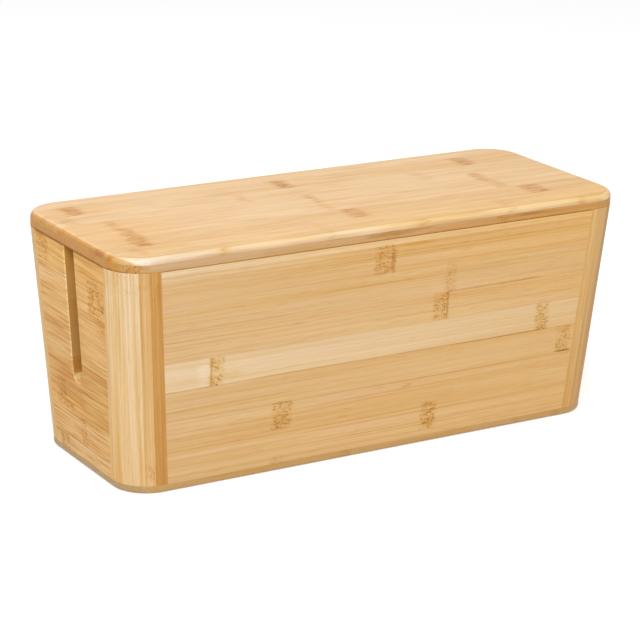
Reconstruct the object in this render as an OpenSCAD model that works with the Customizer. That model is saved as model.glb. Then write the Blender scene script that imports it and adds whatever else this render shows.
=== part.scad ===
// Bamboo cable management box with a lift-off lid.
// The carcase has four leaning walls, each glued up from narrow bamboo strips, and four
// laminated corner posts with a quarter-round outside. The walls and posts stand on a
// base board. The ends are slotted for cables, and the lid rests on the posts.
// Origin: centre of the underside. +X runs along the length, -Y is the front, +Z is up.

/* [Carcase] */
// Length of the carcase at its top edge
length = 405; // [360:5:450]
// Width of the carcase at its top edge
width = 160; // [140:5:200]
// Height of the carcase, from the underside to the seat of the lid
carcase_height = 158; // [150:1:170]
// Lean of every wall from upright, in degrees
wall_lean = 4; // [1:0.5:6]
// Thickness of the walls
wall_thickness = 8; // [6:0.5:10]
// Outer radius of the corner posts
corner_radius = 26; // [22:1:30]
// Gap between the top of a wall and the lid, which only the posts carry
wall_shyness = 0.4; // [0.2:0.1:1]

/* [Strips] */
// Width of one bamboo strip in the walls
strip_pitch = 20.45; // [15:0.05:30]
// Height of the lowest seam in the front and back walls
front_first_seam = 10.3; // [8:0.1:20]
// Height of the lowest seam in the end walls
end_first_seam = 16.3; // [8:0.1:20]
// Thickness of the tongues that key the strips into the posts
tongue_thickness = 3; // [2:0.5:4]
// Depth of the tongues
tongue_depth = 5; // [3:0.5:6]

/* [Corner posts] */
// Flank of a post along the front or back wall
post_front_flank = 28.75; // [28.75:0.25:34]
// Flank of a post along the end wall
post_end_flank = 27; // [27:0.25:34]
// Depth of the outer layer, from the end face
outer_layer_depth = 13.6; // [12:0.1:15]
// Depth of the middle layer's inner side, from the end face
middle_layer_depth = 20.4; // [18:0.1:22]

/* [Cable slots] */
// Width of the slot in each end wall
slot_width = 15; // [10:0.5:25]
// Height of the centre of the slot's round bottom, on the outer face
slot_bottom_centre = 69; // [60:1:110]
// Width of the chamfer that eases the slot's edges on both faces
slot_easing = 0.8; // [0.4:0.1:1.5]

/* [Base board] */
// Thickness of the base board
base_thickness = 5.5; // [4:0.5:7]
// Radius of its eased lower edge
base_easing = 2.5; // [1:0.5:3]

/* [Lid] */
// Thickness of the lid, both plies together
lid_thickness = 10; // [9:0.5:14]
// Thickness of the top ply, whose edge is rounded over its whole thickness
top_ply = 4.5; // [3:0.5:6]
// Width of the strips of the top ply
lid_strip_pitch = 22.5; // [18:0.5:30]
// Distance from the front edge to the first seam of the top ply
lid_first_strip = 26.8; // [24:0.1:30]

/* [Lid cleats] */
// Width of the two cleats under the lid
cleat_width = 12; // [8:1:16]
// Depth of the cleats below the lid
cleat_depth = 8; // [5:1:12]
// Clearance between a cleat and the wall beside it
cleat_clearance = 1; // [0.5:0.1:2]
// Distance that a cleat stops short of the lid's edge at each end
cleat_end_gap = 22.5; // [20:0.5:40]

/* [Hidden] */
$fn = 128;
far = 600;

lean_run = tan(wall_lean);
base_length = length - 2 * carcase_height * lean_run;
base_width = width - 2 * carcase_height * lean_run;
wall_top = carcase_height - wall_shyness;
post_radius_inside = corner_radius - wall_thickness;

// The corner edge, where the outer faces of two walls would meet, leans both ways.
// In the plane of a wall it leans by edge_run, and the two walls meet at corner_angle.
edge_run = sin(wall_lean);
corner_angle = acos(-pow(sin(wall_lean), 2));
joint_stretch = sqrt(1 + edge_run * edge_run);

// Seams between strips, from the base board to the top of the wall
function wall_edges(first_seam) = concat(
    [base_thickness],
    [for (z = first_seam; z < wall_top - 2; z = z + strip_pitch) z],
    [wall_top]
);
front_edges = wall_edges(front_first_seam);
end_edges = wall_edges(end_first_seam);
front_strips = len(front_edges) - 1;
end_strips = len(end_edges) - 1;

// Seams of the lid's top ply, from its front edge to its back edge
lid_edges = concat(
    [-width / 2],
    [for (y = lid_first_strip - width / 2; y < width / 2 - 5; y = y + lid_strip_pitch) y],
    [width / 2]
);
lid_strips = len(lid_edges) - 1;

posts = ["front_left", "front_right", "back_left", "back_right"];
layers = ["outer", "middle", "inner"];
layer_edges = [0, outer_layer_depth, middle_layer_depth, post_front_flank + 2];

function numbered(name, count) = [for (i = [1:count]) str(name, "_", i)];
function layer_name(post, layer) = str(post, "_post_", layer, "_layer");

// Shades of the bamboo, and the strips that are lighter or darker than the honey ones
pale = [0.90, 0.76, 0.56];
honey = [0.87, 0.71, 0.50];
amber = [0.83, 0.65, 0.42];
brown = [0.76, 0.58, 0.36];
long_wall_pale = [5, 9];
long_wall_amber = [4];
end_wall_pale = [7];
end_wall_amber = [3, 4];
lid_pale = [3, 4, 5, 6, 7];
lid_amber = [];

function has(list, index) = len(search(index, list)) > 0;
function shade(index, pale_ones, amber_ones) =
    has(pale_ones, index) ? pale : has(amber_ones, index) ? amber : honey;

// ---- Shared outlines -------------------------------------------------------

// Rectangle with round corners, centred
module rounded_rectangle(size_x, size_y, radius) {
    square([size_x - 2 * radius, size_y], center = true);
    square([size_x, size_y - 2 * radius], center = true);
    for (x = [-1, 1], y = [-1, 1])
        translate([x * (size_x / 2 - radius), y * (size_y / 2 - radius)])
            circle(r = radius);
}

// Section across a board with rounded upper edges, centred, standing on y = 0
module eased_section(span, thickness, easing) {
    translate([-span / 2, 0])
        square([span, thickness - easing]);
    translate([easing - span / 2, 0])
        square([span - 2 * easing, thickness]);
    for (side = [-1, 1])
        translate([side * (span / 2 - easing), thickness - easing])
            circle(r = easing);
}

// Board with round corners and a rounded upper edge, standing on z = 0
module eased_board(size_x, size_y, radius, thickness, easing) {
    straight_x = size_x - 2 * radius;
    straight_y = size_y - 2 * radius;
    rotate([90, 0, 0])
        linear_extrude(straight_y, center = true)
            eased_section(size_x, thickness, easing);
    rotate([90, 0, 90])
        linear_extrude(straight_x, center = true)
            eased_section(size_y, thickness, easing);
    for (turn = [0, 1], behind = [0, 1])
        mirror([turn, 0, 0])
            mirror([0, behind, 0])
                translate([straight_x / 2, straight_y / 2])
                    rotate_extrude(angle = 90)
                        intersection() {
                            eased_section(2 * radius, thickness, easing);
                            square([radius, thickness]);
                        }
}

// Horizontal slice of whatever is inside it
module slice(bottom, top) {
    intersection() {
        translate([-far / 2, -far / 2, bottom])
            cube([far, far, top - bottom]);
        children();
    }
}

// ---- Base board ------------------------------------------------------------

module base_board() {
    flare = 2 * base_thickness * lean_run;
    color(brown)
        translate([0, 0, base_thickness])
            mirror([0, 0, 1])
                eased_board(base_length + flare, base_width + flare,
                            corner_radius, base_thickness, base_easing);
}

// ---- Leaning walls ---------------------------------------------------------

// Puts a drawing in a wall's plane: x along the wall, y up it, z out of its outer face.
// The wall's foot is foot_distance from the middle of the box, turned from the front.
module on_wall(turn, foot_distance) {
    rotate([0, 0, turn])
        translate([0, -foot_distance, 0])
            rotate([90 + wall_lean, 0, 0])
                children();
}

// Strip outline between two heights, ending on the joints with the posts
module strip_outline(foot_half, flank, low, high) {
    function half_at(up) = foot_half + up * edge_run - flank * joint_stretch;
    low_up = low / cos(wall_lean);
    high_up = high / cos(wall_lean);
    polygon([
        [-half_at(low_up), low_up],
        [half_at(low_up), low_up],
        [half_at(high_up), high_up],
        [-half_at(high_up), high_up]
    ]);
}

// One strip of a wall: a full-thickness board with a tongue at each end.
// The lowest strip starts a little low and the highest ends a little high,
// so that the level cuts at the base board and under the lid trim them.
module wall_strip(turn, foot_distance, foot_half, flank, edges, index) {
    trim = 2;
    low = edges[index - 1] - (index == 1 ? trim : 0);
    high = edges[index] + (index == len(edges) - 1 ? trim : 0);
    slice(base_thickness, wall_top)
        on_wall(turn, foot_distance) {
            translate([0, 0, -wall_thickness])
                linear_extrude(wall_thickness)
                    strip_outline(foot_half, flank, low, high);
            translate([0, 0, -(wall_thickness + tongue_thickness) / 2])
                linear_extrude(tongue_thickness)
                    strip_outline(foot_half, flank - tongue_depth, low, high);
        }
}

module long_wall_strip(turn, index) {
    color(shade(index, long_wall_pale, long_wall_amber))
        wall_strip(turn, base_width / 2, base_length / 2, post_front_flank, front_edges, index);
}

// One side of the slot's section through the wall: x from its middle line, y the depth,
// with the outer face at 0. The chamfers run on past both faces.
module slot_flank() {
    side = slot_width / 2;
    run_on = 1;
    polygon([
        [0, run_on],
        [side + slot_easing + run_on, run_on],
        [side, -slot_easing],
        [side, slot_easing - wall_thickness],
        [side + slot_easing + run_on, -wall_thickness - run_on],
        [0, -wall_thickness - run_on]
    ]);
}

// Round-bottomed slot in the plane of an end wall, open at the top: a half turn of its
// flank for the bottom, and the whole section drawn straight up from there
module cable_slot() {
    translate([0, slot_bottom_centre / cos(wall_lean), 0]) {
        rotate([0, 0, 180])
            rotate_extrude(angle = 180)
                slot_flank();
        rotate([90, 0, 0])
            translate([0, 0, -carcase_height])
                linear_extrude(carcase_height) {
                    slot_flank();
                    mirror([1, 0])
                        slot_flank();
                }
    }
}

module end_wall_strip(turn, index) {
    color(shade(index, end_wall_pale, end_wall_amber))
        difference() {
            wall_strip(turn, base_length / 2, base_width / 2, post_end_flank, end_edges, index);
            on_wall(turn, base_length / 2)
                cable_slot();
        }
}

// ---- Corner posts ----------------------------------------------------------

// Spandrel between a square corner at the origin and the arc that rounds it. It runs
// a little past the corner's two lines, so that a cut or a filling made with it is clean.
module corner_spandrel(radius) {
    reach = radius / tan(corner_angle / 2);
    skirt = 1;
    difference() {
        polygon([
            [-skirt, -skirt],
            [reach, -skirt],
            [reach, radius],
            [reach * cos(corner_angle) - skirt * sin(corner_angle),
             reach * sin(corner_angle) + skirt * cos(corner_angle)]
        ]);
        translate([reach, radius])
            circle(r = radius);
    }
}

// Section of a post across its leaning edge. The sharp corner is at the origin, the
// flank of the long wall lies along x, and the flank of the end wall at corner_angle.
module post_section() {
    inner_corner = wall_thickness / tan(corner_angle / 2);
    difference() {
        union() {
            square([post_front_flank, wall_thickness]);
            rotate(corner_angle)
                translate([0, -wall_thickness])
                    square([post_end_flank, wall_thickness]);
            translate([inner_corner, wall_thickness])
                corner_spandrel(post_radius_inside);
        }
        corner_spandrel(corner_radius);
        // grooves for the tongues of the strips
        translate([post_front_flank - tongue_depth, (wall_thickness - tongue_thickness) / 2])
            square([tongue_depth + 1, tongue_thickness]);
        rotate(corner_angle)
            translate([post_end_flank - tongue_depth, -(wall_thickness + tongue_thickness) / 2])
                square([tongue_depth + 1, tongue_thickness]);
    }
}

// Directions of the front left post: along the long wall, into the box, up the edge
edge_length = sqrt(1 + 2 * lean_run * lean_run);
along_wall = [1 / cos(wall_lean), -sin(wall_lean) * lean_run, sin(wall_lean)] / edge_length;
into_box = [0, cos(wall_lean), sin(wall_lean)];
up_edge = [-lean_run, -lean_run, 1] / edge_length;

module front_left_layer(layer) {
    shallow = layer_edges[layer];
    deep = layer_edges[layer + 1];
    slice(base_thickness, carcase_height)
        multmatrix([
            [along_wall[0], into_box[0], up_edge[0], -base_length / 2],
            [along_wall[1], into_box[1], up_edge[1], -base_width / 2],
            [along_wall[2], into_box[2], up_edge[2], 0],
            [0, 0, 0, 1]
        ])
            translate([0, 0, -corner_radius])
                linear_extrude(carcase_height + 2 * corner_radius)
                    intersection() {
                        post_section();
                        rotate(corner_angle)
                            translate([-far / 2, -deep])
                                square([far, deep - shallow]);
                    }
}

module post_layer(post, layer) {
    across = post % 2;
    behind = floor(post / 2);
    color([pale, amber, brown][layer])
        mirror([across, 0, 0])
            mirror([0, behind, 0])
                front_left_layer(layer);
}

// ---- Lid -------------------------------------------------------------------

module lid_blank() {
    translate([0, 0, carcase_height])
        eased_board(length, width, corner_radius, lid_thickness, top_ply);
}

module lid_under_ply() {
    color(brown)
        translate([0, 0, carcase_height])
            linear_extrude(lid_thickness - top_ply)
                rounded_rectangle(length, width, corner_radius);
}

module lid_strip(index) {
    near = lid_edges[index - 1] - (index == 1 ? 1 : 0);
    beyond = lid_edges[index] + (index == lid_strips ? 1 : 0);
    color(shade(index, lid_pale, lid_amber))
        intersection() {
            lid_blank();
            translate([-far / 2, near, carcase_height + lid_thickness - top_ply])
                cube([far, beyond - near, top_ply + 1]);
        }
}

// Cleat along the inside of a long wall, with its lower edges chamfered
module lid_cleat(side) {
    chamfer = 1.5;
    wall_inside = width / 2 - wall_thickness / cos(wall_lean) - cleat_depth * lean_run;
    half_length = length / 2 - cleat_end_gap;
    color(amber)
        translate([-half_length, side * (wall_inside - cleat_clearance - cleat_width / 2),
                   carcase_height])
            rotate([0, 90, 0])
                linear_extrude(2 * half_length)
                    polygon([
                        [0, -cleat_width / 2],
                        [0, cleat_width / 2],
                        [cleat_depth - chamfer, cleat_width / 2],
                        [cleat_depth, cleat_width / 2 - chamfer],
                        [cleat_depth, chamfer - cleat_width / 2],
                        [cleat_depth - chamfer, -cleat_width / 2]
                    ]);
}

// ---- The pieces ------------------------------------------------------------

base_board();
for (i = [1:front_strips]) {
    long_wall_strip(0, i);
    long_wall_strip(180, i);
}
for (i = [1:end_strips]) {
    end_wall_strip(-90, i);
    end_wall_strip(90, i);
}
for (post = [0:3]) for (layer = [0:2])
    post_layer(post, layer);
lid_under_ply();
for (i = [1:lid_strips])
    lid_strip(i);
lid_cleat(-1);  // lid_front_cleat
lid_cleat(1);  // lid_back_cleat
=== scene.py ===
"""Dresses the bamboo cable management box and sets its stage, lamps and camera.

Every CAD node stays as it is and gets a bamboo finish of its own. A finish follows the
way the piece was cut: its fibres run along the strip, and the knuckles of the culm lie
across it where they do on the real box. Lengths are in millimetres unless a name says
otherwise, in the frame of the CAD model: +X along the box, -Y the front, +Z up.
"""

import logging
import math
from dataclasses import dataclass, field, replace
from enum import Enum

import bpy
from mathutils import Matrix, Vector


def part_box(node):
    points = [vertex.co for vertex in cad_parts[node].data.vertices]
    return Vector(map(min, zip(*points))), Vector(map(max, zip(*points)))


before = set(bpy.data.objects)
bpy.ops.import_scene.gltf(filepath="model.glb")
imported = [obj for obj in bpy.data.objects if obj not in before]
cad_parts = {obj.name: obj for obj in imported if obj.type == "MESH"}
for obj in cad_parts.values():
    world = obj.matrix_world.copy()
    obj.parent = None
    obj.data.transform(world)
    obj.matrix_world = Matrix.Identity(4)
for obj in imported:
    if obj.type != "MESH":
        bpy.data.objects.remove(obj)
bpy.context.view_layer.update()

LOG = logging.getLogger("cable_box")
MM_PER_METRE = 1000.0

# Sockets of the colour Mix node, whose names repeat for each kind of value
MIX_FACTOR, MIX_A, MIX_B, MIX_RESULT = 0, 6, 7, 2

Triple = tuple[float, float, float]
Span = tuple[float, float]
Tree = bpy.types.ShaderNodeTree
Socket = bpy.types.NodeSocket

WHITE_LIGHT = (1.0, 1.0, 1.0, 1.0)


def linear_colour(hex_code: str) -> tuple[float, float, float, float]:
    """Turns an sRGB hex colour into linear light.

    Args:
        hex_code: The colour as "#rrggbb".

    Returns:
        Linear red, green and blue, and a full alpha.
    """
    channels = [int(hex_code[place:place + 2], 16) / 255 for place in (1, 3, 5)]
    red, green, blue = (
        value / 12.92 if value <= 0.04045 else ((value + 0.055) / 1.055) ** 2.4
        for value in channels
    )
    return red, green, blue, 1.0


def add_node(tree: Tree, kind: str, inputs: dict | None = None,
             **settings: str) -> bpy.types.Node:
    """Adds a node with its settings and links.

    Args:
        tree: The node tree that it goes into.
        kind: The node's type, such as "ShaderNodeMath".
        inputs: Socket name or number to a value, or to the output socket that feeds it.
        **settings: Properties of the node itself, such as operation="ADD".

    Returns:
        The new node.
    """
    node = tree.nodes.new(kind)
    for name, value in settings.items():
        setattr(node, name, value)
    for name, value in (inputs or {}).items():
        if isinstance(value, bpy.types.NodeSocket):
            tree.links.new(value, node.inputs[name])
        else:
            node.inputs[name].default_value = value
    return node


class Side(Enum):
    """A wall of the box, by the turn in degrees that brings the front wall to it."""

    FRONT = 0
    RIGHT = 90
    BACK = 180
    LEFT = -90

    def turn(self) -> Matrix:
        """Returns the turn about +Z from the front wall to this one."""
        return Matrix.Rotation(math.radians(self.value), 3, "Z")


class Hand(Enum):
    """The left or the right of the box, by its sign along +X."""

    LEFT = -1
    RIGHT = 1


class Row(Enum):
    """The front or the back of the box, by its sign along +Y."""

    FRONT = -1
    BACK = 1


@dataclass(frozen=True)
class Cut:
    """How a piece was cut from the culm, as three directions and a place to measure from.

    Attributes:
        origin: Where the place in the grain is measured from.
        along: The way the fibres run.
        across: The way from the piece's low edge to its high one.
        through: The way through its thickness.
    """

    origin: Vector
    along: Vector
    across: Vector
    through: Vector


class Way(Enum):
    """A direction of a cut, by the name that the cut has for it."""

    ALONG = "along"
    ACROSS = "across"


@dataclass(frozen=True)
class Facing:
    """Tint of the faces of a piece that look along one of its cut's directions.

    Attributes:
        way: The direction.
        low: How squarely a face looks that way where the tint begins, from 0 to 1.
        high: How squarely it does where the tint ends.
        tint: What it multiplies the wood's colour by, in linear light.
        calm: How much of the figure is lost there, from 0 to 1.
    """

    way: Way
    low: float
    high: float
    tint: Triple
    calm: float = 0.0


@dataclass(frozen=True)
class Pattern:
    """A noise that is drawn out along the fibres.

    Attributes:
        length: Its size along the fibres.
        pitch: Its size across them.
        detail: Number of finer layers in it.
        layer: How many steps it is moved, so that no two patterns match.
    """

    length: float
    pitch: float
    detail: float = 1.0
    layer: int = 0


@dataclass(frozen=True)
class Figure:
    """One layer of the wood's figure: patches drawn out along the fibres, all of one tint.

    Attributes:
        length: How long a patch is.
        pitch: How wide it is.
        low: Level of the noise at which a patch begins to show.
        high: Level at which it has its full tint.
        tint: What it multiplies the wood's colour by, in linear light.
        detail: Number of finer layers in the noise.
    """

    length: float
    pitch: float
    low: float
    high: float
    tint: Triple
    detail: float = 2.0


@dataclass(frozen=True)
class Knuckle:
    """A node of the culm that crosses a strip, where the fibres knot and the wood is browner.

    Attributes:
        place: Its middle, along the strip.
        length: How far it reaches along the strip.
        strength: How brown it is, from 0 to 1.
        scar: Where the sheath left a thin brown line, along the strip, or None.
        low: Its lower end across the strip, as a share of the strip's width.
        high: Its upper end across the strip, as a share of the strip's width.
    """

    place: float
    length: float
    strength: float
    scar: float | None = None
    low: float = -0.3
    high: float = 1.3


@dataclass(frozen=True)
class Stain:
    """A soft patch of another tint in a strip, such as a resin streak.

    Attributes:
        place: Its middle, along the strip.
        level: Its middle, across the strip, as a share of the strip's width.
        length: Its length.
        width: Its width.
        tint: What it multiplies the wood's colour by, in linear light.
    """

    place: float
    level: float
    length: float
    width: float
    tint: Triple


class Tone(Enum):
    """Tones of steamed bamboo, from pale to brown, in sRGB."""

    CREAM = "#e1c6a0"
    SHELL = "#e9c08a"
    STRAW = "#dfbb85"
    WHEAT = "#e3b97d"
    SAND = "#dfb578"
    GOLD = "#e2b162"
    HONEY = "#ddad66"
    MALT = "#dbb172"
    BUFF = "#d5b07c"
    FAWN = "#cfa973"
    OAT = "#cba983"
    BISCUIT = "#d2a76b"
    CARAMEL = "#cd9a47"
    AMBER = "#c9944e"
    BARK = "#c09a62"
    OCHRE = "#bd8a3c"


@dataclass(frozen=True)
class Strip:
    """One strip as it is seen on the box.

    Attributes:
        start: Tone at the low end of the strip.
        end: Tone at its high end.
        knuckles: The knuckles that cross it.
        stains: The patches of another tint in it.
        low_seam: How dark the glue line at its lower edge is, from 0 to 1.
        high_seam: How dark the glue line at its upper edge is, from 0 to 1.
        calm: How much of its figure is missing, from 0 to 1.
    """

    start: Tone
    end: Tone
    knuckles: tuple[Knuckle, ...] = ()
    stains: tuple[Stain, ...] = ()
    low_seam: float = 0.15
    high_seam: float = 0.15
    calm: float = 0.0


# Patches of warmer and of paler wood, as wide as a third of a strip
WARM_DRIFT = Figure(300.0, 7.0, 0.44, 0.62, (0.97, 0.915, 0.77), 2.0)
PALE_DRIFT = Figure(240.0, 8.0, 0.48, 0.66, (1.02, 1.045, 1.12), 2.0)
# Small patches a little rosier than the rest
ROSY_PATCHES = Figure(60.0, 5.0, 0.50, 0.66, (1.0, 0.97, 1.03), 1.0)
# Fibre bundles are about 0.3 mm wide, too fine to show, so streaks are drawn 1.4 mm wide
DARK_STREAKS = Figure(220.0, 1.4, 0.45, 0.66, (0.93, 0.89, 0.80), 4.0)
PALE_STREAKS = Figure(180.0, 1.3, 0.48, 0.68, (1.03, 1.045, 1.08), 3.0)
# A few bundles stand out as long lines
DARK_LINES = Figure(300.0, 2.0, 0.64, 0.70, (0.91, 0.84, 0.68), 1.0)
# Vessels cut open by the plane, and the bright fibres beside them. They are about 0.2 mm
# wide, too fine to show, so they are drawn 0.8 mm wide
VESSELS = Figure(16.0, 0.8, 0.58, 0.70, (0.93, 0.89, 0.82), 1.0)
BRIGHT_FIBRES = Figure(10.0, 0.8, 0.58, 0.72, (1.04, 1.055, 1.09), 1.0)

# How far a pattern moves for each step of its layer and of a strip's seed
LAYER_STEP = Vector((5.71, 3.13, 11.9))
SEED_STEP = Vector((173.1, 61.7, 37.3))

# The slow sway of the fibres, and the ribs that sanding leaves between them
SWAY = Pattern(110.0, 16.0)
RIBS = Pattern(60.0, 1.5, detail=2.0, layer=61)
# The frayed rims of stains and the ragged ends of knuckles
STAIN_RIMS = Pattern(14.0, 1.3, layer=31)
KNUCKLE_ENDS = Pattern(300.0, 1.8, detail=2.0, layer=41)
# The fainter places, the curls of fibre and the dots of turned vessels in a knuckle. The
# dots are about 0.2 mm wide, too fine to show, so they are drawn coarser and 2 mm apart
BLOTCHES = Pattern(7.0, 5.0, layer=42)
CURLS = Pattern(3.2, 1.1, layer=43)
PORES = Pattern(2.2, 1.8, layer=44)
# The places where a glue line is hardly seen
GLUE_GAPS = Pattern(45.0, 400.0, layer=51)

# Levels between which a noise goes from nothing to all
BLOTCH_LEVELS = (0.34, 0.56)
DARK_CURL_LEVELS = (0.48, 0.34)
PALE_CURL_LEVELS = (0.54, 0.66)
GLUE_LEVELS = (0.38, 0.62)
# Distance from a dot's middle at which it is gone and at which it is full, in spacings
PORE_RADII = (0.42, 0.20)
# Share of a glue line that is left in its gaps
GLUE_LEAST = 0.2
# How far the noise frays a stain, and the levels at which it is full and gone
STAIN_FRAY, STAIN_FULL, STAIN_GONE = 1.2, 0.9, 1.6
# How far a glue line, a scar and the tint of a face take to fade out
GLUE_FADE, SCAR_FADE, FACING_FADE = 0.35, 0.5, 0.08
# How much a knuckle's ragged end swings for each millimetre of its fray
FRAY_SWING = 4

# Tints of stains: resin, which also paints shade in the joint along the lid's lower edge, a
# brown bundle, a hairline crack, painted shade in the joint under the lid, the pale and the warm
# wood near a knuckle, and a painted highlight on an edge
RESIN_AND_JOINT_SHADE = (0.97, 0.82, 0.50)
RING = (0.80, 0.68, 0.46)
CRACK = (0.35, 0.25, 0.15)
PAINTED_JOINT_SHADE = (0.60, 0.44, 0.06)
PALE_WOOD = (1.05, 1.10, 1.20)
WARM_WOOD = (0.98, 0.91, 0.72)
PAINTED_EDGE_HIGHLIGHT = (0.96, 0.99, 1.06)

# Saws leave the ends of the fibres rough, so they look darker, and eased edges are painted
# paler: a painted highlight
END_GRAIN_AND_EDGE_HIGHLIGHT = (Facing(Way.ALONG, 0.85, 1.2, (0.95, 0.88, 0.62)),
              Facing(Way.ALONG, 0.55, 0.85, (1.08, 1.16, 1.40)))


@dataclass(frozen=True)
class Bamboo:
    """Laminated bamboo: culm strips glued edge to edge, sanded flush and oiled to a satin.

    Attributes:
        name: What the finish is called.
        figures: The layers of its figure.
        roughness: Roughness of the oiled surface.
        gloss_swing: How much its roughness differs between the ribs and the rest.
        ior: How strongly the oil film mirrors.
        blotch: The darker and fainter places in a knuckle.
        faint: Share of a knuckle's strength that is left in its fainter places.
        knuckle: Tint of a knuckle.
        curl: The curls of fibre in it.
        dark_curl: Tint of the dark curls.
        pale_curl: Tint of the pale curls.
        pore: Tint of the dots where vessels turn out of the wood in a knuckle.
        scar: Tint of the thin line that the sheath left beside a knuckle.
        scar_half: Half the width of that line.
        fray: How ragged the ends of a knuckle are.
        fade: How far a knuckle takes to fade out, along and across the fibres.
        seam: Tint of a glue line.
        seam_half: Half the width of a glue line.
        facings: Tints of the faces that show the fibres' ends, which look darker, and of eased
            edges, roundings and faces turned up, which carry painted highlights, reflection,
            light and shade.
        sway: How far the fibres stray from straight.
        relief_m: Depth of the relief that sanding leaves in the softer wood, in metres.
        relief_share: How much of that relief is seen.
    """

    name: str
    figures: tuple[Figure, ...]
    roughness: float = 0.5
    gloss_swing: float = 0.16
    ior: float = 1.45
    blotch: Pattern = BLOTCHES
    faint: float = 0.4
    knuckle: Triple = (0.89, 0.79, 0.50)
    curl: Pattern = CURLS
    dark_curl: Triple = (0.78, 0.66, 0.40)
    pale_curl: Triple = (1.16, 1.23, 1.38)
    pore: Triple = (0.58, 0.45, 0.20)
    scar: Triple = (0.80, 0.66, 0.36)
    scar_half: float = 0.8
    fray: float = 1.6
    fade: Span = (2.2, 0.8)
    seam: Triple = (0.66, 0.52, 0.32)
    seam_half: float = 0.55
    facings: tuple[Facing, ...] = END_GRAIN_AND_EDGE_HIGHLIGHT
    sway: float = 1.2
    relief_m: float = 0.00004
    relief_share: float = 0.3


# The wide faces of the front and back walls: calm, long streaks
WALL = Bamboo("bamboo_wall_sanded_oiled",
              (WARM_DRIFT, PALE_DRIFT, ROSY_PATCHES, DARK_STREAKS, PALE_STREAKS, DARK_LINES,
               VESSELS, BRIGHT_FIBRES))
# The end walls come from nearer the culm's skin: bold, broken, darker streaks
END_WALL = replace(
    WALL, name="bamboo_end_wall_sanded_oiled",
    figures=(Figure(70.0, 8.0, 0.44, 0.62, (0.90, 0.77, 0.48), 1.0),
             Figure(60.0, 1.4, 0.48, 0.66, (1.06, 1.12, 1.32), 2.0),
             Figure(60.0, 1.5, 0.46, 0.64, (0.84, 0.73, 0.46), 3.0),
             Figure(34.0, 1.0, 0.57, 0.64, (0.78, 0.62, 0.32), 1.0),
             replace(BRIGHT_FIBRES, length=14.0)),
    ior=1.36, knuckle=(0.87, 0.75, 0.40), dark_curl=(0.72, 0.58, 0.26),
    pale_curl=(1.22, 1.30, 1.50), pore=(0.64, 0.50, 0.20), seam=(0.52, 0.38, 0.15),
    # The ends of the fibres look darker; the eased slot mouths are painted paler, a painted
    # highlight, and faces turned up the wall, such as the slot bottoms, are painted paler:
    # painted light
    facings=(Facing(Way.ALONG, 0.85, 1.2, (0.84, 0.70, 0.54), 0.8),
             Facing(Way.ALONG, 0.50, 0.85, (1.12, 1.35, 2.1)),
             Facing(Way.ACROSS, 0.40, 1.2, (1.25, 1.45, 2.2), 0.6)),
    relief_m=0.00002)
# The posts are planed on the bundles' edge: close, upright streaks
POST = replace(
    WALL, name="bamboo_post_moulded_oiled",
    figures=(replace(WARM_DRIFT, pitch=4.0, tint=(0.95, 0.89, 0.72)),
             replace(PALE_DRIFT, pitch=4.0, tint=(1.03, 1.06, 1.18)),
             replace(DARK_STREAKS, length=120.0, tint=(0.90, 0.82, 0.66)),
             replace(PALE_STREAKS, length=110.0, tint=(1.05, 1.09, 1.20)),
             VESSELS, BRIGHT_FIBRES),
    ior=1.38, knuckle=(0.95, 0.89, 0.78), dark_curl=(0.84, 0.74, 0.58),
    pale_curl=(1.06, 1.09, 1.12), pore=(0.80, 0.70, 0.55), facings=())
# The lid has more coats of oil, so its grain is quieter and its knuckles are soft smears.
# A thin darker line where its edge begins to round is painted shade, and the paler rounding, the
# paler front of the edge and the paler rounding at its ends are painted highlights and
# reflection
LID_TOP = replace(
    WALL, name="bamboo_lid_sanded_oiled",
    figures=(replace(WARM_DRIFT, length=90.0, tint=(0.95, 0.89, 0.74)),
             replace(PALE_DRIFT, length=80.0),
             Figure(25.0, 4.0, 0.50, 0.66, (0.955, 0.935, 0.90), 1.0),
             replace(DARK_STREAKS, length=55.0, pitch=2.0, tint=(0.93, 0.905, 0.88)),
             replace(PALE_STREAKS, length=45.0, pitch=2.0, tint=(1.035, 1.042, 1.04)),
             replace(VESSELS, tint=(0.96, 0.94, 0.90))),
    roughness=0.36, curl=replace(CURLS, length=10.0, pitch=1.8),
    blotch=replace(BLOTCHES, length=12.0, pitch=6.0), knuckle=(0.84, 0.67, 0.20),
    dark_curl=(0.66, 0.47, 0.12), pale_curl=(1.03, 1.05, 1.08), pore=(0.92, 0.85, 0.70),
    faint=0.68, fray=4.0, fade=(3.2, 2.0),
    # Painted shade in a thin line, a painted highlight on the rounding, a painted reflection on
    # the front of the edge and a painted highlight on the rounding at the ends; the ends are
    # browner where the fibres end
    facings=(Facing(Way.ACROSS, 0.12, 0.26, (0.88, 0.78, 0.58)),
             Facing(Way.ACROSS, 0.30, 0.93, (1.03, 1.23, 1.87)),
             Facing(Way.ACROSS, 0.93, 1.2, (0.95, 1.07, 1.72)),
             Facing(Way.ALONG, 0.15, 0.56, (1.07, 1.12, 1.27)),
             Facing(Way.ALONG, 0.56, 0.80, (0.82, 0.67, 0.38)),
             Facing(Way.ALONG, 0.80, 1.2, (0.70, 0.52, 0.18))))
# Edges of the lower ply, where the wood is browner and takes less oil
PLY_EDGE = replace(
    WALL, name="bamboo_ply_sawn_oiled", ior=1.38,
    figures=(replace(WARM_DRIFT, length=120.0), replace(DARK_STREAKS, pitch=1.2), VESSELS),
    facings=(Facing(Way.ALONG, 0.45, 0.80, (0.96, 0.84, 0.60)),
             Facing(Way.ALONG, 0.80, 1.2, (0.90, 0.64, 0.20))))
# The base board's ends are painted cooler and greyer: painted reflection and shade
BASE_EDGE = replace(PLY_EDGE, name="bamboo_base_sawn_oiled",
                    facings=(Facing(Way.ALONG, 0.50, 1.2, (0.86, 0.98, 1.30)),))


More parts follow.
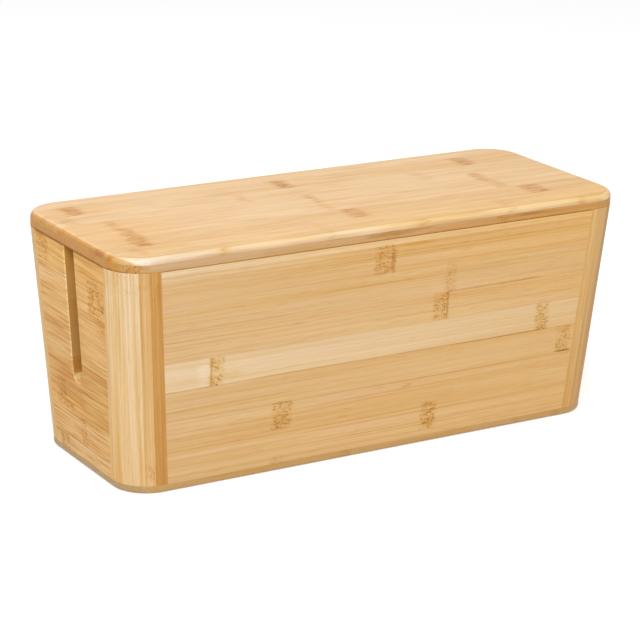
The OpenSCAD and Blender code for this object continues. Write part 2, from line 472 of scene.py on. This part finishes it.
@dataclass
class DrawnStrip:
    """One strip's wood, drawn node by node into a material of its own.

    Attributes:
        piece: The CAD node that it dresses.
        bamboo: The bamboo that it is made of.
        cut: The directions that it was cut in.
        strip: Its tones, knuckles, stains and glue lines.
        edges: Where its lower and upper edges are, across the strip.
        reach: Half its length, over which its colour goes from start to end.
        seed: A number that moves its patterns, so that no two strips match.
        made: The material.
        tree: The material's nodes.
        grain: Each point's place along, across and through the strip.
        fibres: The same place, moved and swayed, which the patterns are drawn on.
        ground: The strip's plain colour.
        colour: The colour that has been drawn so far.
    """

    piece: str
    bamboo: Bamboo
    cut: Cut
    strip: Strip
    edges: Span
    reach: float
    seed: int
    made: bpy.types.Material = field(init=False)
    tree: Tree = field(init=False)
    grain: Socket = field(init=False)
    fibres: Socket = field(init=False)
    ground: Socket = field(init=False)
    colour: Socket = field(init=False)

    def dress(self) -> str:
        """Draws the wood and gives it to the piece.

        Returns:
            The name of the material.
        """
        self.made = bpy.data.materials.new(f"{self.bamboo.name}_{self.piece}")
        self.made.use_nodes = True
        self.tree = self.made.node_tree
        self.tree.nodes.clear()
        self._measure_grain()
        self._lay_fibres()
        self._lay_ground()
        self._draw_figures()
        self._draw_stains()
        if self.strip.knuckles:
            self._draw_knuckles()
        self._draw_glue_lines()
        self._tint_faces()
        self._oil()
        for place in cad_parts[self.piece].material_slots:
            place.material = self.made
        return self.made.name

    def _measure_grain(self) -> None:
        """Measures each point's place along, across and through the strip."""
        place = add_node(self.tree, "ShaderNodeTexCoord").outputs["Object"]
        offset = add_node(self.tree, "ShaderNodeVectorMath",
                          {0: place, 1: self.cut.origin / MM_PER_METRE}, operation="SUBTRACT")
        measures = {}
        for number, axis in enumerate((self.cut.along, self.cut.across, self.cut.through)):
            measured = add_node(self.tree, "ShaderNodeVectorMath",
                                {0: offset.outputs[0], 1: axis * MM_PER_METRE},
                                operation="DOT_PRODUCT")
            measures[number] = measured.outputs["Value"]
        self.grain = add_node(self.tree, "ShaderNodeCombineXYZ", measures).outputs[0]

    def _lay_fibres(self) -> None:
        """Moves the patterns by the seed, and lets the fibres sway a little."""
        step = SEED_STEP * (self.seed + 1)
        self.fibres = add_node(self.tree, "ShaderNodeVectorMath", {0: self.grain, 1: step},
                               operation="ADD").outputs[0]
        sway = self.bamboo.sway
        lift = add_node(self.tree, "ShaderNodeMath",
                        {0: self._noise(SWAY), 1: 2 * sway, 2: -sway}, operation="MULTIPLY_ADD")
        swayed = add_node(self.tree, "ShaderNodeCombineXYZ", {1: lift.outputs[0]})
        self.fibres = add_node(self.tree, "ShaderNodeVectorMath",
                               {0: self.fibres, 1: swayed.outputs[0]},
                               operation="ADD").outputs[0]

    def _lay_ground(self) -> None:
        """Colours the strip plainly, from the tone of its start to that of its end."""
        along = add_node(self.tree, "ShaderNodeSeparateXYZ", {0: self.grain}).outputs[0]
        share = add_node(self.tree, "ShaderNodeMapRange",
                         {"Value": along, "From Min": -self.reach, "From Max": self.reach})
        self.ground = add_node(self.tree, "ShaderNodeMix",
                               {MIX_FACTOR: share.outputs[0],
                                MIX_A: linear_colour(self.strip.start.value),
                                MIX_B: linear_colour(self.strip.end.value)},
                               data_type="RGBA").outputs[MIX_RESULT]
        self.colour = self.ground

    def _place_of(self, pattern: Pattern) -> Socket:
        """Scales the place so that a noise of size 1 is drawn out along the fibres.

        Args:
            pattern: The pattern that the noise is for.

        Returns:
            The scaled place.
        """
        lengthwise, crosswise = 1 / pattern.length, 1 / pattern.pitch
        return add_node(self.tree, "ShaderNodeMapping",
                        {"Vector": self.fibres, "Location": LAYER_STEP * pattern.layer,
                         "Scale": (lengthwise, crosswise, crosswise)}).outputs[0]

    def _noise(self, pattern: Pattern) -> Socket:
        """Draws the noise of a pattern.

        Args:
            pattern: The pattern.

        Returns:
            The noise, from 0 to 1.
        """
        return add_node(self.tree, "ShaderNodeTexNoise",
                        {"Vector": self._place_of(pattern), "Scale": 1.0,
                         "Detail": pattern.detail}).outputs["Fac"]

    def _patches(self, pattern: Pattern, levels: Span, least: Socket | float = 0.0,
                 most: Socket | float = 1.0) -> Socket:
        """Draws soft patches where the noise of a pattern passes its levels.

        Args:
            pattern: The pattern.
            levels: Level of the noise at which a patch begins, and at which it is full.
            least: Amount outside the patches.
            most: Amount in them.

        Returns:
            The amount at each point.
        """
        begins, full = levels
        return add_node(self.tree, "ShaderNodeMapRange",
                        {"Value": self._noise(pattern), "From Min": begins, "From Max": full,
                         "To Min": least, "To Max": most},
                        interpolation_type="SMOOTHSTEP").outputs[0]

    def _band(self, value: Socket, middle: float, half: float, fade: float,
              most: Socket | float = 1.0) -> Socket:
        """Draws a band that fades out at both sides.

        Args:
            value: What is measured, such as the place along the strip.
            middle: Where the band's middle is.
            half: Half its width.
            fade: How far it fades to either side of its rim.
            most: Amount in the band.

        Returns:
            The amount at each point.
        """
        away = add_node(self.tree, "ShaderNodeMath", {0: value, 1: middle},
                        operation="SUBTRACT")
        far = add_node(self.tree, "ShaderNodeMath", {0: away.outputs[0]}, operation="ABSOLUTE")
        return add_node(self.tree, "ShaderNodeMapRange",
                        {"Value": far.outputs[0], "From Min": half - fade,
                         "From Max": half + fade, "To Min": most, "To Max": 0.0},
                        interpolation_type="SMOOTHSTEP").outputs[0]

    def _tint(self, tint: Triple, amount: Socket) -> None:
        """Multiplies the colour by a tint.

        Args:
            tint: The tint, in linear light.
            amount: How much of it shows at each point, from 0 to 1.
        """
        self.colour = add_node(self.tree, "ShaderNodeMix",
                               {MIX_FACTOR: amount, MIX_A: self.colour, MIX_B: (*tint, 1.0)},
                               data_type="RGBA", blend_type="MULTIPLY").outputs[MIX_RESULT]

    def _draw_figures(self) -> None:
        """Draws the patches and streaks of the wood's figure."""
        for layer, figure in enumerate(self.bamboo.figures, start=1):
            pattern = Pattern(figure.length, figure.pitch, figure.detail, layer)
            self._tint(figure.tint, self._patches(pattern, (figure.low, figure.high),
                                                  most=1 - self.strip.calm))

    def _draw_stains(self) -> None:
        """Draws the stains as soft ovals, whose rims are frayed by the fibres."""
        low_edge, high_edge = self.edges
        for stain in self.strip.stains:
            middle = (stain.place, low_edge + stain.level * (high_edge - low_edge), 0.0)
            offset = add_node(self.tree, "ShaderNodeVectorMath", {0: self.grain, 1: middle},
                              operation="SUBTRACT")
            share = add_node(self.tree, "ShaderNodeVectorMath",
                             {0: offset.outputs[0],
                              1: (2 / stain.length, 2 / stain.width, 0.0)},
                             operation="MULTIPLY")
            far = add_node(self.tree, "ShaderNodeVectorMath", {0: share.outputs[0]},
                           operation="LENGTH")
            frayed = add_node(self.tree, "ShaderNodeMath",
                              {0: self._noise(STAIN_RIMS), 1: STAIN_FRAY,
                               2: far.outputs["Value"]}, operation="MULTIPLY_ADD")
            shown = add_node(self.tree, "ShaderNodeMapRange",
                             {"Value": frayed.outputs[0], "From Min": STAIN_FULL,
                              "From Max": STAIN_GONE, "To Min": 1.0, "To Max": 0.0},
                             interpolation_type="SMOOTHSTEP")
            self._tint(stain.tint, shown.outputs[0])

    def _draw_knuckles(self) -> None:
        """Draws the knuckles as blotchy bands of dark and pale curls, with dots of pores."""
        bamboo, bands = self.bamboo, self._knuckle_bands()
        faint = add_node(self.tree, "ShaderNodeMath", {0: bands, 1: bamboo.faint},
                         operation="MULTIPLY").outputs[0]
        shown = self._patches(bamboo.blotch, BLOTCH_LEVELS, faint, bands)
        dots = add_node(self.tree, "ShaderNodeTexVoronoi",
                        {"Vector": self._place_of(PORES), "Scale": 1.0}).outputs["Distance"]
        gone, full = PORE_RADII
        pores = add_node(self.tree, "ShaderNodeMapRange",
                         {"Value": dots, "From Min": gone, "From Max": full, "To Max": shown},
                         interpolation_type="SMOOTHSTEP").outputs[0]
        self._tint(bamboo.dark_curl, self._patches(bamboo.curl, DARK_CURL_LEVELS, most=shown))
        self._tint(bamboo.pale_curl, self._patches(bamboo.curl, PALE_CURL_LEVELS, most=shown))
        self._tint(bamboo.pore, pores)
        self._tint(bamboo.knuckle, shown)

    def _knuckle_bands(self) -> Socket:
        """Lays the knuckles' ragged bands, and draws the scars beside them.

        Returns:
            How strong a knuckle is at each point.
        """
        bamboo, (low_edge, high_edge) = self.bamboo, self.edges
        place, height, _ = add_node(self.tree, "ShaderNodeSeparateXYZ", {0: self.grain}).outputs
        swing = FRAY_SWING * bamboo.fray
        ragged = add_node(self.tree, "ShaderNodeMath",
                          {0: self._noise(KNUCKLE_ENDS), 1: swing, 2: place},
                          operation="MULTIPLY_ADD").outputs[0]
        fade_along, fade_across = bamboo.fade
        bands = 0.0
        for knuckle in self.strip.knuckles:
            level = low_edge + (knuckle.low + knuckle.high) / 2 * (high_edge - low_edge)
            half = (knuckle.high - knuckle.low) / 2 * (high_edge - low_edge)
            across = self._band(height, level, half, fade_across, knuckle.strength)
            # The noise is about a half on average, which moves the band by half a swing
            band = self._band(ragged, knuckle.place + swing / 2, knuckle.length / 2,
                              fade_along, across)
            bands = add_node(self.tree, "ShaderNodeMath", {0: band, 1: bands},
                             operation="MAXIMUM").outputs[0]
            if knuckle.scar is not None:
                self._tint(bamboo.scar, self._band(place, knuckle.scar, bamboo.scar_half,
                                                   SCAR_FADE, across))
        return bands

    def _draw_glue_lines(self) -> None:
        """Darkens the glue lines at the two edges of the strip, more in some places."""
        across = add_node(self.tree, "ShaderNodeSeparateXYZ", {0: self.grain}).outputs[1]
        for edge, darkness in zip(self.edges, (self.strip.low_seam, self.strip.high_seam)):
            seen = self._patches(GLUE_GAPS, GLUE_LEVELS, GLUE_LEAST * darkness, darkness)
            self._tint(self.bamboo.seam,
                       self._band(across, edge, self.bamboo.seam_half, GLUE_FADE, seen))

    def _tint_faces(self) -> None:
        """Tints the faces that look along or across the fibres, and calms their figure."""
        normal = add_node(self.tree, "ShaderNodeNewGeometry").outputs["Normal"]
        for facing in self.bamboo.facings:
            middle, half = (facing.low + facing.high) / 2, (facing.high - facing.low) / 2
            aligned = add_node(self.tree, "ShaderNodeVectorMath",
                               {0: normal, 1: getattr(self.cut, facing.way.value)},
                               operation="DOT_PRODUCT").outputs["Value"]
            squarely = add_node(self.tree, "ShaderNodeMath", {0: aligned},
                                operation="ABSOLUTE").outputs[0]
            if facing.calm:
                calmed = self._band(squarely, middle, half, FACING_FADE, facing.calm)
                self.colour = add_node(self.tree, "ShaderNodeMix",
                                       {MIX_FACTOR: calmed, MIX_A: self.colour,
                                        MIX_B: self.ground},
                                       data_type="RGBA").outputs[MIX_RESULT]
            self._tint(facing.tint, self._band(squarely, middle, half, FACING_FADE))

    def _oil(self) -> None:
        """Puts the colour under a satin oil that follows the fibres a little."""
        bamboo, ribs = self.bamboo, self._noise(RIBS)
        relief = add_node(self.tree, "ShaderNodeBump",
                          {"Height": ribs, "Strength": bamboo.relief_share,
                           "Distance": bamboo.relief_m})
        gloss = add_node(self.tree, "ShaderNodeMath",
                         {0: ribs, 1: bamboo.gloss_swing,
                          2: bamboo.roughness - bamboo.gloss_swing / 2},
                         operation="MULTIPLY_ADD")
        shader = add_node(self.tree, "ShaderNodeBsdfPrincipled",
                          {"Base Color": self.colour, "Roughness": gloss.outputs[0],
                           "Normal": relief.outputs[0], "IOR": bamboo.ior})
        add_node(self.tree, "ShaderNodeOutputMaterial", {"Surface": shader.outputs[0]})


@dataclass(frozen=True)
class Carcase:
    """Sizes that the walls, posts and boards share.

    Attributes:
        length: Length at the seat of the lid.
        width: Width at the seat of the lid.
        seat: Height of the seat.
        lean: Lean of every wall, in radians.
    """

    length: float
    width: float
    seat: float
    lean: float

    @classmethod
    def measured(cls) -> "Carcase":
        """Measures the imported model.

        Returns:
            Its sizes.
        """
        base_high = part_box("base_board")[1] * MM_PER_METRE
        lid_low, lid_high = (corner * MM_PER_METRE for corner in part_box("lid_under_ply"))
        rise = lid_low.z - base_high.z
        lean = math.atan((lid_high.x - base_high.x) / rise)
        return cls(lid_high.x - lid_low.x, lid_high.y - lid_low.y, lid_low.z, lean)

    def foot(self, span: float) -> float:
        """Returns the half-size at the foot of a span measured at the seat of the lid."""
        return span / 2 - self.seat * math.tan(self.lean)


@dataclass(frozen=True)
class StripWall:
    """A leaning wall glued up from strips.

    Attributes:
        carcase: The shared sizes.
        side: Which wall it is.
        stem: The nodes' name before the strip's number.
        strips: How each strip looks, from the foot up.
        finish: The bamboo of the wall.
        seed: Where its patterns start.
    """

    carcase: Carcase
    side: Side
    stem: str
    strips: tuple[Strip, ...]
    finish: Bamboo
    seed: int

    def spans(self) -> Span:
        """Returns the box's size between this wall and the opposite one, and along it."""
        sizes = self.carcase.width, self.carcase.length
        return sizes if self.side in (Side.FRONT, Side.BACK) else sizes[::-1]

    def cut(self) -> Cut:
        """Works out how the wall's strips were cut, measured from the wall's foot.

        Returns:
            The cut.
        """
        turn = self.side.turn()
        lean_in, upright = math.sin(self.carcase.lean), math.cos(self.carcase.lean)
        along = turn @ Vector((1, 0, 0))
        return Cut(origin=turn @ Vector((0, -self.carcase.foot(self.spans()[0]), 0)),
                   along=Vector([abs(part) for part in along]),
                   across=turn @ Vector((0, -lean_in, upright)),
                   through=turn @ Vector((0, upright, lean_in)))

    def seams(self) -> list[float]:
        """Measures where the seams are up the leaning wall.

        Returns:
            The places of the foot, the seams and the top.
        """
        names = [f"{self.stem}_{number}" for number in range(1, len(self.strips) + 1)]
        heights = [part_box(name)[0].z for name in names] + [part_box(names[-1])[1].z]
        return [height * MM_PER_METRE / math.cos(self.carcase.lean) for height in heights]

    def build(self) -> dict[str, str]:
        """Dresses every strip of the wall.

        Returns:
            The material of each strip, by the name of its node.
        """
        cut, seams, dressed = self.cut(), self.seams(), {}
        reach = self.spans()[1] / 2
        for number, strip in enumerate(self.strips, start=1):
            name = f"{self.stem}_{number}"
            edges = seams[number - 1], seams[number]
            dressed[name] = DrawnStrip(name, self.finish, cut, strip, edges, reach,
                                       self.seed + number).dress()
        return dressed


@dataclass(frozen=True)
class CornerPost:
    """A corner post glued from three layers, which stand parallel to the end wall.

    Attributes:
        carcase: The shared sizes.
        row: Whether it stands in front or at the back.
        hand: Whether it is a left or a right one.
        layers: How the outer, middle and inner layers look.
        seed: Where its patterns start.
        depths: Depth of the layers' sides from the end face.
    """

    carcase: Carcase
    row: Row
    hand: Hand
    layers: tuple[Strip, ...]
    seed: int
    depths: tuple[float, ...] = (0.0, 13.6, 20.4, 28.75)

    def cut(self) -> Cut:
        """Works out how the layers were cut, measured from the foot of the sharp corner.

        Returns:
            The cut.
        """
        carcase, run = self.carcase, math.tan(self.carcase.lean)
        rightward, backward = self.hand.value, self.row.value
        up = Vector((rightward * run, backward * run, 1)).normalized()
        inward = Vector((-rightward * math.cos(carcase.lean), 0, math.sin(carcase.lean)))
        return Cut(origin=Vector((rightward * carcase.foot(carcase.length),
                                  backward * carcase.foot(carcase.width), 0)),
                   along=up, across=inward, through=up.cross(inward))

    def build(self) -> dict[str, str]:
        """Dresses the three layers.

        Returns:
            The material of each layer, by the name of its node.
        """
        post, dressed = f"{self.row.name}_{self.hand.name}_post".lower(), {}
        for number, (layer, strip) in enumerate(zip(("outer", "middle", "inner"), self.layers)):
            name = f"{post}_{layer}_layer"
            edges = self.depths[number], self.depths[number + 1]
            dressed[name] = DrawnStrip(name, POST, self.cut(), strip, edges, self.carcase.seat,
                                       self.seed + number).dress()
        return dressed


# Boards whose fibres run along the box, measured over their face or up their edge
FACE_UP = Cut(origin=Vector((0, 0, 0)), along=Vector((1, 0, 0)),
              across=Vector((0, 1, 0)), through=Vector((0, 0, 1)))
EDGE_ON = Cut(origin=Vector((0, 0, 0)), along=Vector((1, 0, 0)),
              across=Vector((0, 0, 1)), through=Vector((0, -1, 0)))


@dataclass(frozen=True)
class FlatBoards:
    """Boards that lie flat, such as the strips of the lid.

    Attributes:
        finish: The bamboo that they are made of.
        cut: How they are measured.
        boards: How each board looks, by the name of its node.
        seed: Where their patterns start.
    """

    finish: Bamboo
    cut: Cut
    boards: dict[str, Strip]
    seed: int

    def build(self) -> dict[str, str]:
        """Dresses every board.

        Returns:
            The material of each board, by the name of its node.
        """
        dressed = {}
        for number, (name, strip) in enumerate(self.boards.items()):
            low, high = (corner * MM_PER_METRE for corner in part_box(name))
            edges = low @ self.cut.across, high @ self.cut.across
            dressed[name] = DrawnStrip(name, self.finish, self.cut, strip, edges, high.x,
                                       self.seed + number).dress()
        return dressed


# From the foot of the wall up
FRONT_WALL = (
    Strip(Tone.FAWN, Tone.MALT, (Knuckle(-78, 11, 0.5),)),
    Strip(Tone.BUFF, Tone.MALT, (Knuckle(44, 12, 0.9),)),
    Strip(Tone.BUFF, Tone.MALT, (Knuckle(-77, 14, 1.0),
                                 Knuckle(26, 8, 0.4, low=0.7, high=0.9))),
    Strip(Tone.BUFF, Tone.MALT, (Knuckle(158, 12, 0.7),),
          (Stain(158, 0.04, 18, 1.6, CRACK),), high_seam=1.0, calm=0.25),
    Strip(Tone.CREAM, Tone.STRAW, (Knuckle(-129, 10, 1.0, -133.5), Knuckle(137, 10, 0.9)),
          (Stain(-139, 0.5, 14, 26, PALE_WOOD), Stain(-117, 0.3, 22, 9, WARM_WOOD)),
          low_seam=0.9, calm=0.35),
    Strip(Tone.BUFF, Tone.SAND, (Knuckle(48, 12, 0.85, 53.5),),
          (Stain(98, 1.0, 110, 2.0, RING),)),
    Strip(Tone.BUFF, Tone.MALT, (Knuckle(55, 8, 0.5),), (Stain(98, 0.0, 110, 2.0, RING),)),
    Strip(Tone.BUFF, Tone.HONEY, (Knuckle(-1, 16, 0.8),),
          (Stain(5.5, 0.45, 5, 24, RING), Stain(24, 0.93, 44, 4, RESIN_AND_JOINT_SHADE),
           Stain(-100, 0.95, 340, 8, PALE_WOOD))),
    Strip(Tone.CREAM, Tone.GOLD, (), (Stain(-100, 0.5, 340, 10, PALE_WOOD),), high_seam=0.0),
)
END_WALLS = (
    Strip(Tone.WHEAT, Tone.STRAW, (Knuckle(28, 13, 0.8),)),
    Strip(Tone.SAND, Tone.HONEY, (Knuckle(-4, 8, 0.6),), (Stain(-22, 0.96, 44, 2.0, RING),)),
    Strip(Tone.CARAMEL, Tone.GOLD,
          (Knuckle(28, 13, 0.9), Knuckle(15, 14, 0.7, low=-0.1, high=0.3)),
          (Stain(-28, 0.65, 28, 1.8, RING),)),
    Strip(Tone.CARAMEL, Tone.HONEY),
    Strip(Tone.HONEY, Tone.MALT, (), (Stain(28, 0.87, 36, 3.0, RING),), calm=0.2),
    Strip(Tone.HONEY, Tone.HONEY, (Knuckle(-44, 12, 0.6, low=0.55),),
          (Stain(0, 0.5, 90, 4.0, PALE_WOOD),), calm=0.2),
    Strip(Tone.GOLD, Tone.WHEAT, (Knuckle(-38, 24, 0.9),), calm=0.15),
    Strip(Tone.GOLD, Tone.GOLD, (Knuckle(42, 16, 0.8), Knuckle(-34, 16, 0.6, high=0.35)),
          # The top edge of this strip is darkened where it meets the lid: painted shade of the
          # joint
          (Stain(0, 1.0, 400, 2.5, PAINTED_JOINT_SHADE),), calm=0.15),
)
# From the outer layer to the inner one
LEFT_POST = (
    Strip(Tone.MALT, Tone.CREAM, (Knuckle(150, 16, 0.35),),
          (Stain(0, 0.0, 1000, 8, WARM_WOOD),)),
    Strip(Tone.STRAW, Tone.BISCUIT, (Knuckle(14, 10, 0.8), Knuckle(152, 12, 0.4))),
    Strip(Tone.OCHRE, Tone.AMBER, (Knuckle(143, 12, 0.3),)),
)
RIGHT_POST = (
    Strip(Tone.AMBER, Tone.OCHRE),
    Strip(Tone.OCHRE, Tone.MALT),
    Strip(Tone.AMBER, Tone.MALT),
)
LID_TOP_PLY = {
    # The first strip's front edge is painted paler near the left corner: a painted highlight
    "lid_strip_1": Strip(Tone.WHEAT, Tone.GOLD,
                         (Knuckle(-182, 7, 0.6, low=0.7), Knuckle(-44, 5, 0.2),
                          Knuckle(104, 8, 0.3), Knuckle(-127, 6, 0.5, high=0.17),
                          Knuckle(29, 6, 0.4, high=0.17), Knuckle(165, 6, 0.3, high=0.17)),
                         (Stain(-165, 0.8, 60, 16, WARM_WOOD), Stain(-165, 0.0, 130, 14, PAINTED_EDGE_HIGHLIGHT),
                          Stain(-179, 0.55, 12, 12, RESIN_AND_JOINT_SHADE))),
    "lid_strip_2": Strip(Tone.WHEAT, Tone.HONEY,
                         (Knuckle(-170, 12, 1.0), Knuckle(-4, 13, 0.85), Knuckle(148, 16, 0.9)),
                         (Stain(-172, 0.5, 90, 50, WARM_WOOD), Stain(0, 0.5, 50, 20, WARM_WOOD),
                          Stain(-203, 0.3, 9, 26, RING))),
    "lid_strip_3": Strip(Tone.SHELL, Tone.WHEAT,
                         (Knuckle(-167, 10, 0.8), Knuckle(-13, 6, 0.4), Knuckle(132, 10, 0.5)),
                         (Stain(-178, 0.5, 120, 60, WARM_WOOD),)),
    "lid_strip_4": Strip(Tone.SHELL, Tone.WHEAT,
                         (Knuckle(-168, 7, 0.6), Knuckle(-10, 7, 0.6), Knuckle(132, 10, 0.7)),
                         (Stain(-178, 0.5, 120, 60, WARM_WOOD),)),
    "lid_strip_5": Strip(Tone.SHELL, Tone.WHEAT,
                         (Knuckle(-190, 10, 0.4), Knuckle(-55, 6, 0.4), Knuckle(94, 12, 0.3))),
    "lid_strip_6": Strip(Tone.SHELL, Tone.HONEY,
                         (Knuckle(-176, 12, 1.0), Knuckle(-9, 12, 0.9), Knuckle(147, 12, 1.0)),
                         (Stain(-176, 0.5, 90, 40, WARM_WOOD), Stain(-176, 0.5, 18, 22, RESIN_AND_JOINT_SHADE))),
    "lid_strip_7": Strip(Tone.SHELL, Tone.WHEAT),
}
# The under ply's lower edge is darkened all round, and more at its ends: painted shade of the
# joint under the lid
UNDER_PLY = {
    "lid_under_ply": Strip(Tone.OAT, Tone.AMBER, (Knuckle(-190, 14, 0.6), Knuckle(96, 10, 0.5)),
                           (Stain(5, 0.65, 80, 5, RING), Stain(118, 0.7, 50, 3, RING),
                            Stain(0, 0.0, 1000, 2.5, RESIN_AND_JOINT_SHADE), Stain(-203, 0.0, 22, 2.5, PAINTED_JOINT_SHADE),
                            Stain(203, 0.0, 22, 2.5, PAINTED_JOINT_SHADE))),
    "lid_front_cleat": Strip(Tone.BISCUIT, Tone.BISCUIT),
    "lid_back_cleat": Strip(Tone.BISCUIT, Tone.BISCUIT),
}
BASE = {
    "base_board": Strip(Tone.BARK, Tone.BARK, (Knuckle(-23, 7, 0.4), Knuckle(123, 5, 0.4),
                                               Knuckle(158, 8, 0.5))),
}


@dataclass(frozen=True)
class Softbox:
    """A square lamp with an even, soft light.

    Attributes:
        name: What it is called.
        place_m: Where it stands, in metres.
        aim_m: What it faces, in metres.
        size_m: Its side, in metres.
        watts: Its power.
    """

    name: str
    place_m: Triple
    aim_m: Triple
    size_m: float
    watts: float

    def build(self) -> None:
        """Makes the lamp and turns it to what it faces."""
        light = bpy.data.lights.new(self.name, "AREA")
        light.size = self.size_m
        light.energy = self.watts
        lamp = bpy.data.objects.new(self.name, light)
        lamp.location = self.place_m
        aim = Vector(self.aim_m) - Vector(self.place_m)
        lamp.rotation_euler = aim.to_track_quat("-Z", "Y").to_euler()
        bpy.context.scene.collection.objects.link(lamp)


# The softboxes face the middle of the box
BOX_MIDDLE_M = (0.0, 0.0, 0.08)
KEY_SOFTBOX = Softbox("key_softbox", (-1.25, -1.15, 1.7), BOX_MIDDLE_M, 1.2, 30.0)
TOP_SOFTBOX = Softbox("top_softbox", (0.3, -0.5, 1.45), BOX_MIDDLE_M, 0.6, 5.0)


@dataclass(frozen=True)
class Studio:
    """A pale floor in a white room with soft, plain light.

    Attributes:
        paper: Colour of the floor, which is matt backdrop paper.
        floor_half_m: Half the size of the floor, in metres.
        floor_drop_m: How far it lies under the box, so that their faces don't meet.
        floor_glow: Light that the floor adds where it is seen, which keeps it white.
        fill: Strength of the light from all round.
        softboxes: The lamps.
    """

    paper: str = "#f0f0f0"
    floor_half_m: float = 8.0
    floor_drop_m: float = 0.0002
    floor_glow: float = 0.42
    fill: float = 0.52
    softboxes: tuple[Softbox, ...] = (KEY_SOFTBOX, TOP_SOFTBOX)

    def build(self) -> None:
        """Makes the floor, the room's light and the lamps."""
        self._floor()
        self._room()
        for softbox in self.softboxes:
            softbox.build()

    def _floor(self) -> None:
        """Makes the floor, whose own light keeps it white but for a soft shadow."""
        half = self.floor_half_m
        mesh = bpy.data.meshes.new("floor")
        corners = [(-half, -half), (half, -half), (half, half), (-half, half)]
        mesh.from_pydata([(x, y, -self.floor_drop_m) for x, y in corners], [], [(0, 1, 2, 3)])
        floor = bpy.data.objects.new("floor", mesh)
        bpy.context.scene.collection.objects.link(floor)
        paper = bpy.data.materials.new("backdrop_paper_matt")
        paper.use_nodes = True
        tree = paper.node_tree
        tree.nodes.clear()
        matt = add_node(tree, "ShaderNodeBsdfDiffuse", {"Color": linear_colour(self.paper)})
        glow = add_node(tree, "ShaderNodeEmission",
                        {"Color": WHITE_LIGHT, "Strength": self.floor_glow})
        lifted = add_node(tree, "ShaderNodeAddShader", {0: matt.outputs[0], 1: glow.outputs[0]})
        chosen = add_node(tree, "ShaderNodeMixShader",
                          {0: self._seen(tree), 1: matt.outputs[0], 2: lifted.outputs[0]})
        add_node(tree, "ShaderNodeOutputMaterial", {"Surface": chosen.outputs[0]})
        mesh.materials.append(paper)

    def _seen(self, tree: Tree) -> Socket:
        """Tells the rays that show the room itself, straight, in a gloss or through glass.

        Args:
            tree: The node tree that asks.

        Returns:
            1 for such a ray and 0 for one that lights the box.
        """
        path = add_node(tree, "ShaderNodeLightPath")
        glossy = add_node(tree, "ShaderNodeMath",
                          {0: path.outputs["Is Camera Ray"], 1: path.outputs["Is Glossy Ray"]},
                          operation="MAXIMUM")
        return add_node(tree, "ShaderNodeMath",
                        {0: glossy.outputs[0], 1: path.outputs["Is Transmission Ray"]},
                        operation="MAXIMUM").outputs[0]

    def _room(self) -> None:
        """Makes the even light of the room, which is white where it is seen."""
        world = bpy.data.worlds.new("white_room")
        world.use_nodes = True
        tree = world.node_tree
        tree.nodes.clear()
        strength = add_node(tree, "ShaderNodeMapRange",
                            {"Value": self._seen(tree), "To Min": self.fill, "To Max": 1.0})
        light = add_node(tree, "ShaderNodeBackground",
                         {"Color": WHITE_LIGHT, "Strength": strength.outputs[0]})
        add_node(tree, "ShaderNodeOutputWorld", {"Surface": light.outputs[0]})
        bpy.context.scene.world = world


@dataclass(frozen=True)
class ProductCamera:
    """The camera, off the front left corner and a little above the box.

    Attributes:
        place_m: Where it stands, in metres.
        yaw: How far it turns right from facing +Y, in degrees.
        pitch: How far it looks down, in degrees.
        roll: How far it tilts, in degrees.
        focal_mm: Its focal length.
        sensor_mm: Width of its sensor.
    """

    place_m: Triple = (-0.86953, -1.42055, 0.60641)
    yaw: float = 31.3443
    pitch: float = 17.6143
    roll: float = 1.2537
    focal_mm: float = 136.956
    sensor_mm: float = 36.0

    def build(self) -> None:
        """Makes the camera and sets it as the scene's own."""
        yaw, pitch, roll = (math.radians(angle) for angle in (self.yaw, self.pitch, self.roll))
        forward = Vector((math.sin(yaw) * math.cos(pitch), math.cos(yaw) * math.cos(pitch),
                          -math.sin(pitch)))
        right = Vector((math.cos(yaw), -math.sin(yaw), 0))
        up = right.cross(forward)
        tilted_right = right * math.cos(roll) + up * math.sin(roll)
        tilted_up = up * math.cos(roll) - right * math.sin(roll)
        turn = Matrix((tilted_right, tilted_up, -forward)).transposed()
        data = bpy.data.cameras.new("product_camera")
        data.sensor_width = self.sensor_mm
        data.lens = self.focal_mm
        camera = bpy.data.objects.new("product_camera", data)
        camera.matrix_world = Matrix.Translation(Vector(self.place_m)) @ turn.to_4x4()
        bpy.context.scene.collection.objects.link(camera)
        bpy.context.scene.camera = camera


def main() -> None:
    """Builds the camera, the stage and the finishes from the model's measured sizes, and reports
    each piece's material.
    """
    logging.basicConfig(level=logging.INFO, format="%(message)s")
    ProductCamera().build()
    Studio().build()
    carcase = Carcase.measured()
    assemblies = (
        StripWall(carcase, Side.FRONT, "front_strip", FRONT_WALL, WALL, seed=0),
        StripWall(carcase, Side.BACK, "back_strip", FRONT_WALL, WALL, seed=20),
        StripWall(carcase, Side.LEFT, "left_end_strip", END_WALLS, END_WALL, seed=30),
        StripWall(carcase, Side.RIGHT, "right_end_strip", END_WALLS, END_WALL, seed=40),
        CornerPost(carcase, Row.FRONT, Hand.LEFT, LEFT_POST, seed=50),
        CornerPost(carcase, Row.FRONT, Hand.RIGHT, RIGHT_POST, seed=53),
        CornerPost(carcase, Row.BACK, Hand.LEFT, LEFT_POST, seed=56),
        CornerPost(carcase, Row.BACK, Hand.RIGHT, RIGHT_POST, seed=59),
        FlatBoards(LID_TOP, FACE_UP, LID_TOP_PLY, seed=62),
        FlatBoards(PLY_EDGE, EDGE_ON, UNDER_PLY, seed=70),
        FlatBoards(BASE_EDGE, EDGE_ON, BASE, seed=74),
    )
    for assembly in assemblies:
        for piece, material in assembly.build().items():
            LOG.info("%s: %s", piece, material)
    bpy.context.scene.view_settings.view_transform = "Standard"


if __name__ == "__main__":
    main()
